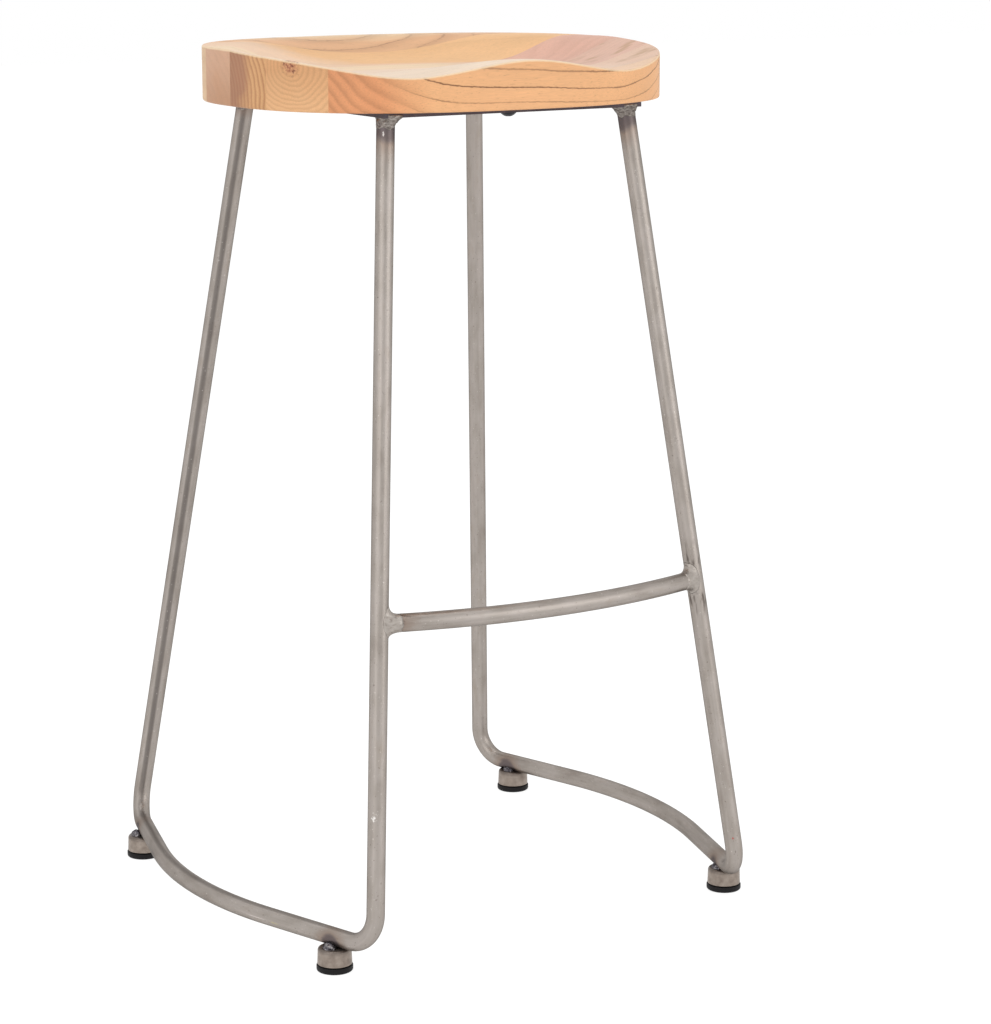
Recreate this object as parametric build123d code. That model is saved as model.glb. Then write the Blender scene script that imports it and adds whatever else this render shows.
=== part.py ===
from build123d import *
from math import cos, exp, pi, sin
import os

# A bar stool: a carved saddle seat on two bent tube sleds, with a bowed footrest.
# Millimetres. The origin is on the floor under the middle of the base, +Z is up
# and the sitter faces -Y. Left and right are as seen from the front, so left is -X.

# Wooden seat, glued up from staves that run from side to side
SEAT_WIDTH = 408.0
SEAT_DEPTH = 332.0
SEAT_THICKNESS = 49.2
SEAT_CORNER_POWER = 2.55  # 2 gives an ellipse, more gives squarer corners
SEAT_EDGE_ROUND = 2.0
STAVE_COUNT = 6
FRONT_STAVE_WIDTH = 52.5
BACK_STAVE_WIDTH = 53.1

# Carved hollow: an arch in plan, open at the front, with a pommel between the thighs
HOLLOW_DEPTH = 22.3
HOLLOW_SIDE_OVERRUN = 31.0  # how far the arch's foot, at the front, lies outside the seat
HOLLOW_REAR_RIM = 10.0
HOLLOW_POWER = 2.22
HOLLOW_FLOOR_FRONT = 0.393  # the floor's share of the arch's reach, where the wall starts
HOLLOW_FLOOR_REAR = 0.767
HOLLOW_FLOOR_RUN = 220.0  # the floor widens to its rear share over this distance
POMMEL_RISE = 15.6
POMMEL_HALF_WIDTH = 79.0
POMMEL_LENGTH = 178.0
CARVING_STEP = 10.0
CARVING_TOLERANCE = 0.05

# Steel tube sleds
TUBE_OD = 16.0
TUBE_WALL = 1.5
FRAME_HEIGHT = 729.5
LEG_TOP_SPREAD = 245.0
LEG_TOP_FRONT = 139.0
LEG_TOP_REAR = 119.0
FRONT_CORNER_SPREAD = 384.0
REAR_CORNER_SPREAD = 393.0
CORNER_FRONT = 232.0
CORNER_REAR = 230.0
BEND_RADIUS = 27.0
RAIL_PEAK_SPREAD = 526.0  # where the straight ends of a rail would cross, if not bowed
RAIL_BOW_RADIUS = 380.0

# Footrest tube between the front legs
FOOTREST_HEIGHT = 304.5
FOOTREST_BOW = 27.6
COPE_GAP = 0.3

# Flat bars under the seat
BAR_WIDTH = 25.0
BAR_THICKNESS = 4.0
BAR_END_MARGIN = 1.0

# Bolts through the bars into threaded inserts in the seat
BOLT_DIAMETER = 8.0
BOLT_LENGTH = 18.0
BOLT_HEAD_DIAMETER = 14.0
BOLT_HEAD_HEIGHT = 4.4
BOLT_HEAD_EDGE = 0.9
BOLT_SOCKET_WIDTH = 5.0
BOLT_SOCKET_DEPTH = 2.5
BOLT_HOLE_CLEARANCE = 0.5
INSERT_WALL = 1.5
INSERT_LENGTH = 16.0
INSERT_HOLE_DEPTH = 20.0
FIT_CLEARANCE = 0.05

# Feet: a cup welded under the rail, with a nut inside for the glide's stud
FOOT_SPACING = 377.0
FOOT_OUTSET = 2.5  # how far a foot stands out from under its rail
CUP_BASE_DIAMETER = 30.5
CUP_TOP_DIAMETER = 29.5
CUP_HEIGHT = 14.4
CUP_WALL = 2.0
CUP_ROOF = 3.0
CUP_SHOULDER = 2.5
NUT_WIDTH = 13.0
NUT_HEIGHT = 6.5
GLIDE_GAP = 1.1
PAD_DIAMETER = 32.0
PAD_HEIGHT = 5.5
PAD_EDGE_ROUND = 2.0
PAD_TOP_ROUND = 0.8
PAD_FLOOR = 1.5
PAD_BOSS_DIAMETER = 16.0
STUD_DIAMETER = 8.0
STUD_HEAD_WIDTH = 13.0
STUD_HEAD_HEIGHT = 3.0
STUD_END_GAP = 0.5
STUD_CHAMFER = 0.8
STUD_CLEARANCE = 0.08

# Weld beads
LEG_WELD_HEIGHT = 9.0
LEG_WELD_FLARE = 2.8
LEG_WELD_LEAN = 2.3  # more metal on the side towards the middle of the bar
FOOTREST_WELD_START = 4.0
FOOTREST_WELD_END = 16.0
FOOTREST_WELD_FLARE = 2.8
FOOT_WELD_LENGTH = 12.0
FOOT_WELD_RADIUS = 5.6
FOOT_WELD_REACH = 6.4  # from the middle of the foot, sideways
WELD_TOE = 0.3
WELD_GAP = 0.02

# Levels and places worked out from those sizes
TUBE_RADIUS = TUBE_OD / 2
CUP_BASE_Z = PAD_HEIGHT + GLIDE_GAP
CUP_TOP_Z = CUP_BASE_Z + CUP_HEIGHT
CUP_ROOF_Z = CUP_TOP_Z - CUP_ROOF
NUT_BASE_Z = CUP_ROOF_Z - NUT_HEIGHT
RAIL_Z = CUP_TOP_Z + WELD_GAP + TUBE_RADIUS
SEAT_BASE_Z = FRAME_HEIGHT + BAR_THICKNESS
SEAT_TOP_Z = SEAT_BASE_Z + SEAT_THICKNESS
SEAT_CENTRE_Y = (LEG_TOP_REAR - LEG_TOP_FRONT) / 2
SEAT_FRONT_Y = SEAT_CENTRE_Y - SEAT_DEPTH / 2
STAVE_WIDTH = (SEAT_DEPTH - FRONT_STAVE_WIDTH - BACK_STAVE_WIDTH) / (STAVE_COUNT - 2)
HOLLOW_HALF_WIDTH = SEAT_WIDTH / 2 + HOLLOW_SIDE_OVERRUN
HOLLOW_LENGTH = SEAT_DEPTH - HOLLOW_REAR_RIM
INSERT_OD = BOLT_DIAMETER + 2 * (FIT_CLEARANCE + INSERT_WALL)
BAR_HALF_LENGTH = LEG_TOP_SPREAD / 2 + TUBE_RADIUS + BAR_END_MARGIN
SIDE_BAR_X = BAR_HALF_LENGTH - BAR_WIDTH / 2

STANDING = (Align.CENTER, Align.CENTER, Align.MIN)

BOLT_PLACES = [
    (0, -LEG_TOP_FRONT),
    (0, LEG_TOP_REAR),
    (-SIDE_BAR_X, SEAT_CENTRE_Y),
    (SIDE_BAR_X, SEAT_CENTRE_Y),
]

# Centre lines of the right-hand sled, from the front leg round to the rear leg
FRONT_TOP = Vector(LEG_TOP_SPREAD / 2, -LEG_TOP_FRONT, FRAME_HEIGHT)
REAR_TOP = Vector(LEG_TOP_SPREAD / 2, LEG_TOP_REAR, FRAME_HEIGHT)
FRONT_CORNER = Vector(FRONT_CORNER_SPREAD / 2, -CORNER_FRONT, RAIL_Z)
REAR_CORNER = Vector(REAR_CORNER_SPREAD / 2, CORNER_REAR, RAIL_Z)
RAIL_PEAK = Vector(RAIL_PEAK_SPREAD / 2, 0, RAIL_Z)


def point_on(start, end, **level):
    """The point of a straight centre line at a given Y or Z."""
    axis, value = next(iter(level.items()))
    low, high = getattr(start, axis), getattr(end, axis)
    return start + (end - start) * ((value - low) / (high - low))


def upright(x, y, z, shape):
    """A shape built about the Z axis, set down at a place."""
    return Pos(x, y, z) * shape


def column(radius, height, z=0.0):
    return Pos(0, 0, z) * Cylinder(radius, height, align=STANDING)


def hexagon_bar(width, height, z=0.0):
    """A hexagonal prism by its width across flats."""
    return Pos(0, 0, z) * extrude(RegularPolygon(width / 2, 6, major_radius=False), height)


def rod(path, radius):
    """A round bar along a centre line."""
    return sweep(Plane(origin=path @ 0, z_dir=path % 0) * Circle(radius), path=path)


def straight_rod(start, end, radius, overrun=0.0):
    """A round bar between two points, run on past both ends."""
    extra = (end - start).normalized() * overrun
    return rod(Line(start - extra, end + extra), radius)


def flared_ring(places, radii):
    """A solid through circles, each square to its own place and direction."""
    sections = []
    for (point, way), radius in zip(places, radii):
        sections.append(Plane(origin=point, z_dir=way) * Circle(radius))
    return loft(sections)


# Seat

def eased(share):
    """A smooth climb from 0 to 1 as the share runs from 0 to 1."""
    return (1 - cos(pi * min(max(share, 0), 1))) / 2


def saddle_z(x, y):
    """Height of the carved top: the rim, less the hollow, plus the pommel."""
    run = max(y - SEAT_FRONT_Y, 0)
    arch = (abs(x) / HOLLOW_HALF_WIDTH) ** HOLLOW_POWER + (run / HOLLOW_LENGTH) ** HOLLOW_POWER
    reach = arch ** (1 / HOLLOW_POWER)
    widening = (HOLLOW_FLOOR_REAR - HOLLOW_FLOOR_FRONT) * eased(run / HOLLOW_FLOOR_RUN)
    floor = HOLLOW_FLOOR_FRONT + widening
    hollow = HOLLOW_DEPTH * (1 - eased((reach - floor) / (1 - floor)))
    fade = 1 - eased(run / POMMEL_LENGTH)
    return SEAT_TOP_Z - hollow + POMMEL_RISE * fade * exp(-((x / POMMEL_HALF_WIDTH) ** 2))


def seat_outline():
    """Plan of the seat: a squared ellipse."""
    steps = 64
    points = []
    for step in range(steps):
        angle = 2 * pi * (step + 0.5) / steps
        across, along = cos(angle), sin(angle)
        sides = abs(across) ** SEAT_CORNER_POWER + abs(along) ** SEAT_CORNER_POWER
        size = sides ** (-1 / SEAT_CORNER_POWER)
        points.append((SEAT_WIDTH / 2 * size * across, SEAT_DEPTH / 2 * size * along))
    return Pos(0, SEAT_CENTRE_Y, SEAT_BASE_Z) * make_face(Spline(*points, periodic=True))


def spread(half, step):
    """Even places from -half to half, about a step apart."""
    count = max(int(2 * half / step), 4)
    return [half * (2 * index / count - 1) for index in range(count + 1)]


def carved_block():
    """Everything under the carved surface, wider than the seat."""
    margin = CARVING_STEP
    rows = [SEAT_CENTRE_Y + y for y in spread(SEAT_DEPTH / 2 + margin, CARVING_STEP)]
    grid = []
    for x in spread(SEAT_WIDTH / 2 + margin, CARVING_STEP):
        grid.append([(x, y, saddle_z(x, y)) for y in rows])
    surface = Face.make_surface_from_array_of_points(grid, tol=CARVING_TOLERANCE)
    return Solid.extrude(surface, Vector(0, 0, -2 * SEAT_THICKNESS))


def make_seat():
    """The whole seat, with its edges eased and holes for the inserts."""
    blank = extrude(seat_outline(), SEAT_THICKNESS + SEAT_EDGE_ROUND)
    seat = blank & carved_block()
    seat = fillet(seat.faces().sort_by(Axis.Z)[0].edges(), SEAT_EDGE_ROUND)
    top_edges = [edge for edge in seat.edges() if edge.center().Z > SEAT_BASE_Z + SEAT_THICKNESS / 2]
    rim = [edge for edge in top_edges if abs(edge.tangent_at(0.5).Z) < 0.9]
    seat = fillet(rim, SEAT_EDGE_ROUND)
    for x, y in BOLT_PLACES:
        seat -= upright(x, y, SEAT_BASE_Z, column(INSERT_OD / 2 + FIT_CLEARANCE, INSERT_HOLE_DEPTH))
    return seat


def make_staves():
    """The seat sawn back into its staves, front to back."""
    seat = make_seat()
    first_joint = SEAT_FRONT_Y + FRONT_STAVE_WIDTH
    joints = [first_joint + STAVE_WIDTH * number for number in range(STAVE_COUNT - 1)]
    edges = [SEAT_FRONT_Y - STAVE_WIDTH, *joints, SEAT_FRONT_Y + SEAT_DEPTH + STAVE_WIDTH]
    staves = {}
    for number in range(STAVE_COUNT):
        front, back = edges[number], edges[number + 1]
        slab = Box(2 * SEAT_WIDTH, back - front, 4 * SEAT_THICKNESS)
        slab = upright(0, (front + back) / 2, SEAT_BASE_Z, slab)
        staves[f"seat_stave_{number + 1}"] = seat & slab
    return staves


# Seat fixings

def make_bolt():
    """A button-head bolt, head down, with its seating face at Z = 0."""
    half = BOLT_HEAD_DIAMETER / 2
    crown = BOLT_HEAD_HEIGHT - BOLT_HEAD_EDGE
    dome_radius = (half**2 + crown**2) / (2 * crown)
    head = column(half, BOLT_HEAD_HEIGHT, -BOLT_HEAD_HEIGHT)
    head &= Pos(0, 0, dome_radius - BOLT_HEAD_HEIGHT) * Sphere(dome_radius)
    head -= hexagon_bar(BOLT_SOCKET_WIDTH, BOLT_SOCKET_DEPTH, -BOLT_HEAD_HEIGHT)
    return head + column(BOLT_DIAMETER / 2, BOLT_LENGTH)


def make_insert():
    """A threaded sleeve for the wood, mouth at Z = 0."""
    sleeve = column(INSERT_OD / 2, INSERT_LENGTH)
    return sleeve - column(BOLT_DIAMETER / 2 + FIT_CLEARANCE, INSERT_LENGTH)


def make_bar(length, along_x):
    """A flat bar with a bolt hole at its middle, underside at Z = 0."""
    size = (length, BAR_WIDTH) if along_x else (BAR_WIDTH, length)
    bar = Box(*size, BAR_THICKNESS, align=STANDING)
    return bar - column(BOLT_DIAMETER / 2 + BOLT_HOLE_CLEARANCE, BAR_THICKNESS)


def make_seat_frame():
    """Four flat bars in a rectangle, butted, with the side bars between the long ones."""
    side_length = LEG_TOP_FRONT + LEG_TOP_REAR - BAR_WIDTH
    long_bar = make_bar(2 * BAR_HALF_LENGTH, True)
    side_bar = make_bar(side_length, False)
    return {
        "seat_bar_front": upright(0, -LEG_TOP_FRONT, FRAME_HEIGHT, long_bar),
        "seat_bar_rear": upright(0, LEG_TOP_REAR, FRAME_HEIGHT, long_bar),
        "seat_bar_left": upright(-SIDE_BAR_X, SEAT_CENTRE_Y, FRAME_HEIGHT, side_bar),
        "seat_bar_right": upright(SIDE_BAR_X, SEAT_CENTRE_Y, FRAME_HEIGHT, side_bar),
    }


def make_fixings():
    return {
        "seat_bolts": Compound([upright(x, y, FRAME_HEIGHT, make_bolt()) for x, y in BOLT_PLACES]),
        "seat_inserts": Compound([upright(x, y, SEAT_BASE_Z, make_insert()) for x, y in BOLT_PLACES]),
    }


# Tube frame

def sled_path():
    """Centre line of the right-hand sled, run on a little above the leg tops."""
    front_end = FRONT_TOP + (FRONT_TOP - FRONT_CORNER).normalized() * TUBE_OD
    rear_end = REAR_TOP + (REAR_TOP - REAR_CORNER).normalized() * TUBE_OD
    corners = [front_end, FRONT_CORNER, RAIL_PEAK, REAR_CORNER, rear_end]
    return FilletPolyline(*corners, radius=[BEND_RADIUS, RAIL_BOW_RADIUS, BEND_RADIUS])


def make_sled():
    """The right-hand sled: one tube, bent, and sawn level under the seat bars."""
    path = sled_path()
    tube = rod(path, TUBE_RADIUS) - rod(path, TUBE_RADIUS - TUBE_WALL)
    return split(tube, bisect_by=Plane.XY.offset(FRAME_HEIGHT), keep=Keep.BOTTOM)


def footrest_path():
    end = point_on(FRONT_CORNER, FRONT_TOP, Z=FOOTREST_HEIGHT)
    middle = (0, end.Y - FOOTREST_BOW, FOOTREST_HEIGHT)
    return ThreePointArc((-end.X, end.Y, end.Z), middle, end)


def both_sides(shape):
    return [mirror(shape, Plane.YZ), shape]


def front_leg_core(allowance):
    """The right-hand front leg as a plain rod, a little fat, for fitting things to it."""
    return straight_rod(FRONT_CORNER, FRONT_TOP, TUBE_RADIUS + allowance, overrun=TUBE_OD)


def make_footrest():
    """The bowed footrest tube, coped to the front legs."""
    path = footrest_path()
    tube = rod(path, TUBE_RADIUS) - rod(path, TUBE_RADIUS - TUBE_WALL)
    for leg in both_sides(front_leg_core(COPE_GAP)):
        tube -= leg
    return tube.solids().sort_by(SortBy.VOLUME)[-1]


# Feet

def foot_place(corner):
    """Middle of a foot, beside the axis of the right-hand rail's straight end."""
    side = -1 if corner.Y < 0 else 1
    return point_on(corner, RAIL_PEAK, Y=side * FOOT_SPACING / 2) + Vector(FOOT_OUTSET, 0, 0)


def make_cup():
    cup = Cone(CUP_BASE_DIAMETER / 2, CUP_TOP_DIAMETER / 2, CUP_HEIGHT, align=STANDING)
    cup = upright(0, 0, CUP_BASE_Z, cup)
    cup = fillet(cup.edges().sort_by(Axis.Z)[-1], CUP_SHOULDER)
    return cup - column(CUP_BASE_DIAMETER / 2 - CUP_WALL, CUP_HEIGHT - CUP_ROOF, CUP_BASE_Z)


def make_nut():
    nut = hexagon_bar(NUT_WIDTH, NUT_HEIGHT, NUT_BASE_Z)
    return nut - column(STUD_DIAMETER / 2 + STUD_CLEARANCE, NUT_HEIGHT, NUT_BASE_Z)


def stud_body(allowance):
    """The glide's stud, or the room for it when an allowance is given."""
    head_width = STUD_HEAD_WIDTH + 2 * allowance
    head = hexagon_bar(head_width, STUD_HEAD_HEIGHT + 2 * allowance, PAD_FLOOR - allowance)
    top = CUP_ROOF_Z - STUD_END_GAP
    return head + column(STUD_DIAMETER / 2 + allowance, top - PAD_FLOOR, PAD_FLOOR)


def make_stud():
    stud = stud_body(0)
    return chamfer(stud.edges().sort_by(Axis.Z)[-1], STUD_CHAMFER)


def make_pad():
    """The glide: a round pad with a boss that stops against the nut."""
    pad = column(PAD_DIAMETER / 2, PAD_HEIGHT)
    pad = fillet(pad.edges().sort_by(Axis.Z)[0], PAD_EDGE_ROUND)
    pad = fillet(pad.edges().sort_by(Axis.Z)[-1], PAD_TOP_ROUND)
    pad += column(PAD_BOSS_DIAMETER / 2, NUT_BASE_Z - PAD_HEIGHT, PAD_HEIGHT)
    return pad - stud_body(WELD_GAP)


def foot_welds(place):
    """Two beads on top of a cup, one on each side of the rail."""
    corner = FRONT_CORNER if place.Y < 0 else REAR_CORNER
    along = (RAIL_PEAK - corner).normalized()
    across = along.cross(Vector(0, 0, 1))
    rail = straight_rod(corner, RAIL_PEAK, TUBE_RADIUS + WELD_GAP)
    profile = make_face(
        EllipticalCenterArc((0, 0), FOOT_WELD_LENGTH / 2, FOOT_WELD_RADIUS, start_angle=0, arc_size=180)
        + Line((-FOOT_WELD_LENGTH / 2, 0), (FOOT_WELD_LENGTH / 2, 0))
    )
    beads = []
    for side in (-1, 1):
        middle = Vector(place.X, place.Y, CUP_TOP_Z) + across * (side * FOOT_WELD_REACH)
        bead = Plane(origin=middle, x_dir=along, z_dir=across) * revolve(profile, Axis.X)
        bead = split(bead, bisect_by=Plane.XY.offset(CUP_TOP_Z + WELD_GAP), keep=Keep.TOP)
        beads.append((bead - rail).solids().sort_by(SortBy.VOLUME)[-1])
    return beads


def make_feet():
    """Four feet: cup, pad and stud each, with the nuts and the beads as groups."""
    nodes = {}
    nuts = []
    beads = []
    for end, corner in (("front", FRONT_CORNER), ("rear", REAR_CORNER)):
        place = foot_place(corner)
        for side, x in (("left", -place.X), ("right", place.X)):
            nodes[f"foot_cup_{end}_{side}"] = upright(x, place.Y, 0, make_cup())
            nodes[f"glide_pad_{end}_{side}"] = upright(x, place.Y, 0, make_pad())
            nodes[f"glide_stud_{end}_{side}"] = upright(x, place.Y, 0, make_stud())
            nuts.append(upright(x, place.Y, 0, make_nut()))
        for bead in foot_welds(place):
            beads += both_sides(bead)
    nodes["foot_nuts"] = Compound(nuts)
    nodes["foot_welds"] = Compound(beads)
    return nodes


# Welds on the legs

def leg_top_weld(top, corner):
    """A flared bead round a leg, under the seat bar."""
    down = (corner - top) * (1 / (top.Z - corner.Z))
    lean = Vector(-LEG_WELD_LEAN, 0, 0)
    flare = [LEG_WELD_FLARE, LEG_WELD_FLARE * 0.4, WELD_TOE]
    places = []
    for share in (0, 0.45, 1):
        centre = top + down * (LEG_WELD_HEIGHT * share) + lean * (1 - share)
        places.append((centre, Vector(0, 0, -1)))
    ring = flared_ring(places, [TUBE_RADIUS + extra for extra in flare])
    ring -= straight_rod(corner, top, TUBE_RADIUS + WELD_GAP, overrun=TUBE_OD)
    return ring.solids().sort_by(SortBy.VOLUME)[-1]


def footrest_weld():
    """A flared bead round the right-hand end of the footrest, against the leg."""
    path = footrest_path()
    flare = [FOOTREST_WELD_FLARE, FOOTREST_WELD_FLARE * 0.4, WELD_TOE]
    middle = (FOOTREST_WELD_START + FOOTREST_WELD_END) / 2
    places = []
    for distance in (FOOTREST_WELD_START, middle, FOOTREST_WELD_END):
        share = 1 - distance / path.length
        places.append((path @ share, (path % share) * -1))
    ring = flared_ring(places, [TUBE_RADIUS + extra for extra in flare])
    ring -= front_leg_core(WELD_GAP)
    ring -= rod(path, TUBE_RADIUS + WELD_GAP)
    return ring.solids().sort_by(SortBy.VOLUME)[-1]


def make_welds():
    leg_welds = both_sides(leg_top_weld(FRONT_TOP, FRONT_CORNER))
    leg_welds += both_sides(leg_top_weld(REAR_TOP, REAR_CORNER))
    return {
        "leg_top_welds": Compound(leg_welds),
        "footrest_welds": Compound(both_sides(footrest_weld())),
    }


def make_frame():
    left, right = both_sides(make_sled())
    return {"left_sled_tube": left, "right_sled_tube": right, "footrest_bar": make_footrest()}


nodes = make_staves()
nodes.update(make_fixings())
nodes.update(make_seat_frame())
nodes.update(make_frame())
nodes.update(make_feet())
nodes.update(make_welds())

os.makedirs("parts", exist_ok=True)
for name, shape in nodes.items():
    export_step(shape, f"parts/{name}.step")
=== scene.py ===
import math

import bmesh
import bpy
from mathutils import Matrix, Vector, noise


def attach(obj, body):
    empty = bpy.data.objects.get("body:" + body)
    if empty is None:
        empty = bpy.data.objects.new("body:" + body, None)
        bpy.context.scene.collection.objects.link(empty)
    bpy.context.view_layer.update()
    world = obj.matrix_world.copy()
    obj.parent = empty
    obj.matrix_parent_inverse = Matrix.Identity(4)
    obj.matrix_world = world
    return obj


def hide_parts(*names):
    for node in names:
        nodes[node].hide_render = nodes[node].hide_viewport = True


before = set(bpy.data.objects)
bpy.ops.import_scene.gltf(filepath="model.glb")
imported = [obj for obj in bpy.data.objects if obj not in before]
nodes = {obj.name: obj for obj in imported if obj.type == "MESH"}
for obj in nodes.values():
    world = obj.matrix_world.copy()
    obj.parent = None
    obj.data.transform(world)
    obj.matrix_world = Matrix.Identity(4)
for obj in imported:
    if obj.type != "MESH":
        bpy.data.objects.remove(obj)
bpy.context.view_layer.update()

# A bar stool: a carved fir seat on two bent steel tube sleds, with a bowed footrest.
# Sizes are in millimetres and are turned to metres where a mesh is made. +Z is up,
# the sitter faces -Y, and left is -X, as in the CAD frame.

MM = 0.001
UP = Vector((0, 0, 1))

# Tube frame, as in the part
TUBE_RADIUS = 8.0
FRAME_TOP = 729.5
RAIL_Z = 29.02
FRONT_TOP = Vector((122.5, -139.0, FRAME_TOP))
REAR_TOP = Vector((122.5, 119.0, FRAME_TOP))
FRONT_CORNER = Vector((192.0, -232.0, RAIL_Z))
REAR_CORNER = Vector((196.5, 230.0, RAIL_Z))
RAIL_PEAK = Vector((263.0, 0.0, RAIL_Z))
BEND_RADIUS = 27.0
RAIL_BOW_RADIUS = 380.0
FOOTREST_Z = 304.5
FOOTREST_BOW = 27.6
FOOTREST_STOP = 17.6  # the bowed line stops this far from each leg's middle
COPE_GAP = 1.2  # filled by the weld
CUP_TOP_Z = 21.0
FOOT_Y = 188.5
FOOT_OUTSET = 2.5
TUBE_SIDES = 48
RING_STEP = 3.0
FEWEST_BEND_STEPS = 12

# Collars of weld round the leg tops
BEAD_SIDES = 64
COLLAR_STEPS = 14
COLLAR_HEIGHT = 9.0
COLLAR_UNEVEN = 0.4  # share by which its height comes and goes
COLLAR_WAVES = 0.15  # per mm round the leg
COLLAR_FLARE = 2.8
COLLAR_SKIN = 0.15  # metal left at its lower end
COLLAR_LEAN = 2.3  # towards the middle of the seat bar
COLLAR_LUMPS = ((0.9, 0.33), (0.5, 0.75))  # height in mm, waves per mm
COLLAR_CLIMB = 2.6  # up the seat bar's outer edge
BAR_EDGE = 13.2  # from the leg's middle to that edge
BAR_FACING = 0.78  # how squarely a point faces that edge before it spreads to it
BAR_TURN = 0.12  # and how much more it faces it when it gets there

# Lumps of weld on the feet
LUMP_REACH = 6.4  # from the foot's middle
LUMP_SIZES = (6.0, 5.4, 5.4)
LUMP_SWELLS = ((0.16, 0.3), (0.08, 0.8))  # share of the size, waves per mm

# Ground fillets between the footrest and the legs
FILLET_STEPS = 10
FILLET_UP = 9.0
FILLET_DOWN = 4.5
FILLET_WRAP = math.radians(74)  # round the leg, each way
FILLET_THROAT = 1.2
FILLET_END = 19.0  # along the footrest, from the leg's middle
FILLET_WAVES = 0.2  # per mm
FILLET_UNEVEN = 0.12  # share by which its reach on the leg comes and goes
FILLET_END_UNEVEN = 2.5  # how far its end on the footrest comes and goes

# How far each kind of weld darkens the tube, from the weld's middle
LEG_TOP_HEAT = 25.0
REAR_TOP_HEAT = 12.5
FOOTREST_HEAT = 22.0
FOOT_HEAT = 13.5

# Where soot beside a footrest weld starts and ends, and over how far it comes and goes
SOOT_START = 12.0
SOOT_RISE = 4.0
SOOT_END = 40.0
SOOT_FALL = 20.0


# Helpers for materials

def linear(code):
    """An sRGB hex colour as linear RGBA."""
    channels = [int(code[place:place + 2], 16) / 255 for place in (1, 3, 5)]
    return [c / 12.92 if c <= 0.04045 else ((c + 0.055) / 1.055) ** 2.4 for c in channels] + [1.0]


def add(tree, kind, inputs=None, stops=None, **settings):
    """Adds one node: its settings, its ramp stops, and its inputs as values or as sockets to link."""
    made = tree.nodes.new("ShaderNode" + kind)
    for key, value in settings.items():
        setattr(made, key, value)
    for key, value in (inputs or {}).items():
        if isinstance(value, bpy.types.NodeSocket):
            tree.links.new(value, made.inputs[key])
        else:
            made.inputs[key].default_value = value
    if stops:
        ramp = made.color_ramp.elements
        while len(ramp) < len(stops):
            ramp.new(1.0)
        for element, (place, colour) in zip(ramp, stops):
            element.position = place
            element.color = colour
    return made


def new_material(name):
    """An empty material, its node tree, and its main shader."""
    material = bpy.data.materials.new(name)
    material.use_nodes = True
    tree = material.node_tree
    return material, tree, tree.nodes["Principled BSDF"]


def grey(level):
    """A linear grey as RGBA."""
    return (level, level, level, 1.0)


def place_in_mm(tree):
    """The place of a point on the surface, in the frame's mm."""
    place = add(tree, "TexCoord").outputs["Object"]
    return add(tree, "VectorMath", {0: place, 1: (1000, 1000, 1000)}, operation="MULTIPLY").outputs[0]


def dress(tree, shader, colour, rough, bump):
    """Links a finish's colour, roughness and bump to its shader."""
    tree.links.new(colour, shader.inputs["Base Color"])
    tree.links.new(rough, shader.inputs["Roughness"])
    tree.links.new(bump, shader.inputs["Normal"])


# A MapRange's inputs for the values that most of a noise lies between
MOST = {1: 0.3, 2: 0.7}


# Oiled fir, sawn, glued up in staves and sanded. Wide pale early wood and thin dark late wood
# make long lines on the faces and arcs on the ends, and oil gives it a soft, broad sheen.

YEAR_RAGGED = 1.1  # how far a year's edge jumps, in mm
TURN_WAVER = 40.0  # how far the edge between two colours strays, in mm
KNOT_CRACKS = 14.0  # how far a knot's cracks reach, in mm
KNOT_START = 9.0  # where it starts past its radius, next to the 7 mm that cracks add on average
KNOT_FULL = 3.0


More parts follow.
